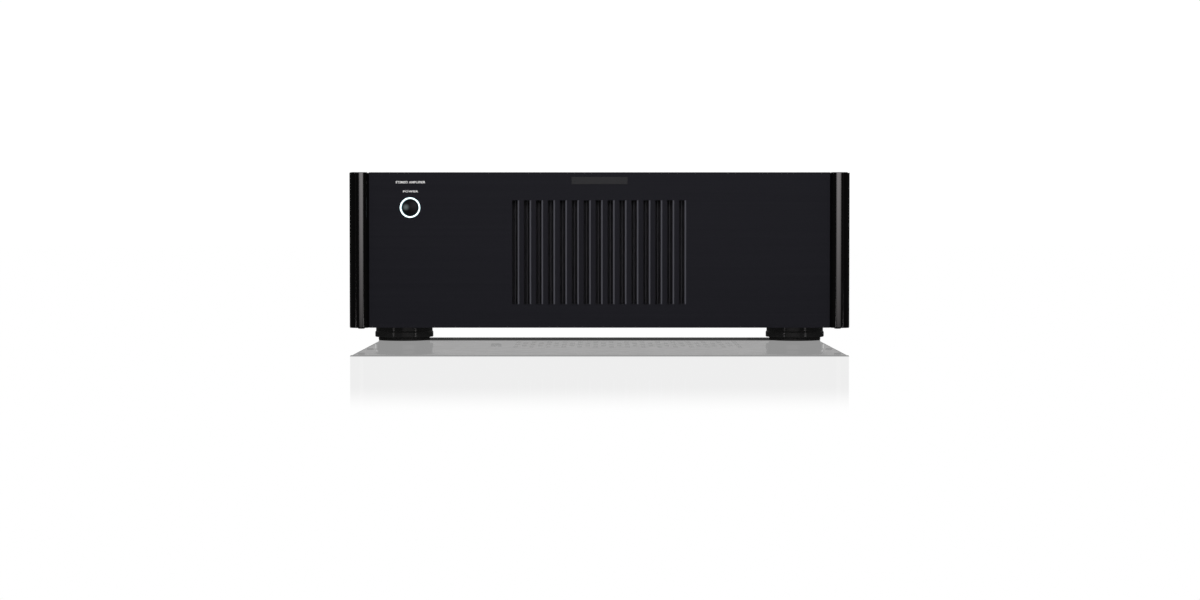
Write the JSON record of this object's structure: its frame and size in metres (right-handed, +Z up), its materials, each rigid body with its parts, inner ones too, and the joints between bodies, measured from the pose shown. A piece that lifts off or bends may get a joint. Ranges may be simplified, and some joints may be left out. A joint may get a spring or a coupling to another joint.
{
  "type": "power amplifier",
  "caption": "Stereo power amplifier in a slotted steel case with a brushed front plate, half-round end columns, lit push button, round feet and rear connectors.",
  "frame": {"origin": "on the floor under the middle of the case", "axes": "+X to the right seen from the front, +Y towards the rear panel, +Z up"},
  "size_m": [0.431, 0.407, 0.146],
  "materials": {
    "black_moulding": "satin",
    "circuit_board": "satin",
    "black_steel": "matte",
    "plated_steel": "satin",
    "black_screw": "satin",
    "badge_metal": "satin",
    "nickel_plate": "satin",
    "spring_steel": "satin",
    "gold_plate": "polished",
    "gloss_black_column": "gloss",
    "can_sleeve": "gloss",
    "foot_rubber": "matte",
    "black_brushed_aluminium": "satin",
    "black_anodised_fins": "matte",
    "ring_diffuser": "satin",
    "black_knob": "gloss",
    "red_knob": "gloss",
    "gloss_black_button": "gloss",
    "jack_insert": "satin",
    "relay_case": "gloss",
    "textured_black_paint": "matte",
    "taped_windings": "satin",
    "nickel_shell": "satin"
  },
  "bodies": {
    "chassis": {"ac_inlet": "black_moulding", "amp_board_left": "circuit_board", "amp_board_right": "circuit_board", "base_plate": "black_steel", "base_rails": "plated_steel", "base_screws": "black_screw", "blank_badge": "badge_metal", "board_standoffs": "nickel_plate", "bridge_rectifiers": "black_moulding", "button_housing": "black_moulding", "button_spring": "spring_steel", "cover_screws": "black_screw", "end_column_left": "gloss_black_column", "end_column_right": "gloss_black_column", "feet_front": "black_moulding", "feet_rear": "black_moulding", "filter_capacitors": "can_sleeve", "foot_pads": "foot_rubber", "foot_screws": "plated_steel", "front_board": "circuit_board", "front_fascia": "black_brushed_aluminium", "front_subpanel": "black_steel", "heat_sink_left": "black_anodised_fins", "heat_sink_right": "black_anodised_fins", "inlet_pins": "nickel_plate", "input_board": "circuit_board", "light_ring": "ring_diffuser", "output_transistors": "black_moulding", "post_bases": "black_moulding", "post_stems": "gold_plate", "power_switch": "black_moulding", "rca_inserts": "jack_insert", "rca_jacks": "gold_plate", "rear_panel": "black_steel", "rear_screws": "black_screw", "relays": "relay_case", "selector_frames": "plated_steel", "supply_board": "circuit_board", "top_cover": "textured_black_paint", "toroid_bolt": "plated_steel", "toroid_clamp_plate": "plated_steel", "toroid_pads": "foot_rubber", "toroid_windings": "taped_windings", "trigger_jacks": "black_moulding", "vent_screen": "black_steel", "xlr_inserts": "black_moulding", "xlr_sockets": "nickel_shell"},
    "power_button": {"power_button": "gloss_black_button"},
    "input_selector": {"input_selector": "black_moulding"},
    "mode_selector": {"mode_selector": "black_moulding"},
    "xlr_latch_left": {"xlr_latch_left": "nickel_plate"},
    "xlr_latch_right": {"xlr_latch_right": "nickel_plate"},
    "clamp_left_positive": {"clamp_washer_left_positive": "gold_plate"},
    "knob_left_positive": {"post_knob_left_positive": "red_knob"},
    "clamp_left_negative": {"clamp_washer_left_negative": "gold_plate"},
    "knob_left_negative": {"post_knob_left_negative": "black_knob"},
    "clamp_right_positive": {"clamp_washer_right_positive": "gold_plate"},
    "knob_right_positive": {"post_knob_right_positive": "red_knob"},
    "clamp_right_negative": {"clamp_washer_right_negative": "gold_plate"},
    "knob_right_negative": {"post_knob_right_negative": "black_knob"}
  },
  "joints": [
    {"name": "power_press", "type": "slide", "parent": "chassis", "child": "power_button", "axis": [0, 1, 0], "range_m": [0, 0.003], "stiffness_N_per_m": 300, "springref_m": -0.002, "deforming": ["button_spring"]},
    {"name": "input_select", "type": "slide", "parent": "chassis", "child": "input_selector", "axis": [1, 0, 0], "range_m": [0, 0.004]},
    {"name": "mode_select", "type": "slide", "parent": "chassis", "child": "mode_selector", "axis": [1, 0, 0], "range_m": [-0.0025, 0.0025]},
    {"name": "xlr_release_left", "type": "slide", "parent": "chassis", "child": "xlr_latch_left", "axis": [0, -1, 0], "range_m": [0, 0.002], "stiffness_N_per_m": 300, "springref_m": -0.002},
    {"name": "xlr_release_right", "type": "slide", "parent": "chassis", "child": "xlr_latch_right", "axis": [0, -1, 0], "range_m": [0, 0.002], "stiffness_N_per_m": 300, "springref_m": -0.002},
    {"name": "travel_left_positive", "type": "slide", "parent": "chassis", "child": "clamp_left_positive", "axis": [0, 1, 0], "range_m": [0, 0.005]},
    {"name": "turn_left_positive", "type": "hinge", "parent": "clamp_left_positive", "child": "knob_left_positive", "pos_m": [0.02152, 0.19, 0.062], "axis": [0, 1, 0], "range_deg": [0, 1800]},
    {"name": "travel_left_negative", "type": "slide", "parent": "chassis", "child": "clamp_left_negative", "axis": [0, 1, 0], "range_m": [0, 0.005]},
    {"name": "turn_left_negative", "type": "hinge", "parent": "clamp_left_negative", "child": "knob_left_negative", "pos_m": [0.00248, 0.19, 0.062], "axis": [0, 1, 0], "range_deg": [0, 1800]},
    {"name": "travel_right_positive", "type": "slide", "parent": "chassis", "child": "clamp_right_positive", "axis": [0, 1, 0], "range_m": [0, 0.005]},
    {"name": "turn_right_positive", "type": "hinge", "parent": "clamp_right_positive", "child": "knob_right_positive", "pos_m": [-0.05647, 0.19, 0.062], "axis": [0, 1, 0], "range_deg": [0, 1800]},
    {"name": "travel_right_negative", "type": "slide", "parent": "chassis", "child": "clamp_right_negative", "axis": [0, 1, 0], "range_m": [0, 0.005]},
    {"name": "turn_right_negative", "type": "hinge", "parent": "clamp_right_negative", "child": "knob_right_negative", "pos_m": [-0.07552, 0.19, 0.062], "axis": [0, 1, 0], "range_deg": [0, 1800]}
  ],
  "couplings": [
    {"joint": "turn_left_positive", "follows": "travel_left_positive", "rad_per_m": 6283},
    {"joint": "turn_left_negative", "follows": "travel_left_negative", "rad_per_m": 6283},
    {"joint": "turn_right_positive", "follows": "travel_right_positive", "rad_per_m": 6283},
    {"joint": "turn_right_negative", "follows": "travel_right_negative", "rad_per_m": 6283}
  ]
}
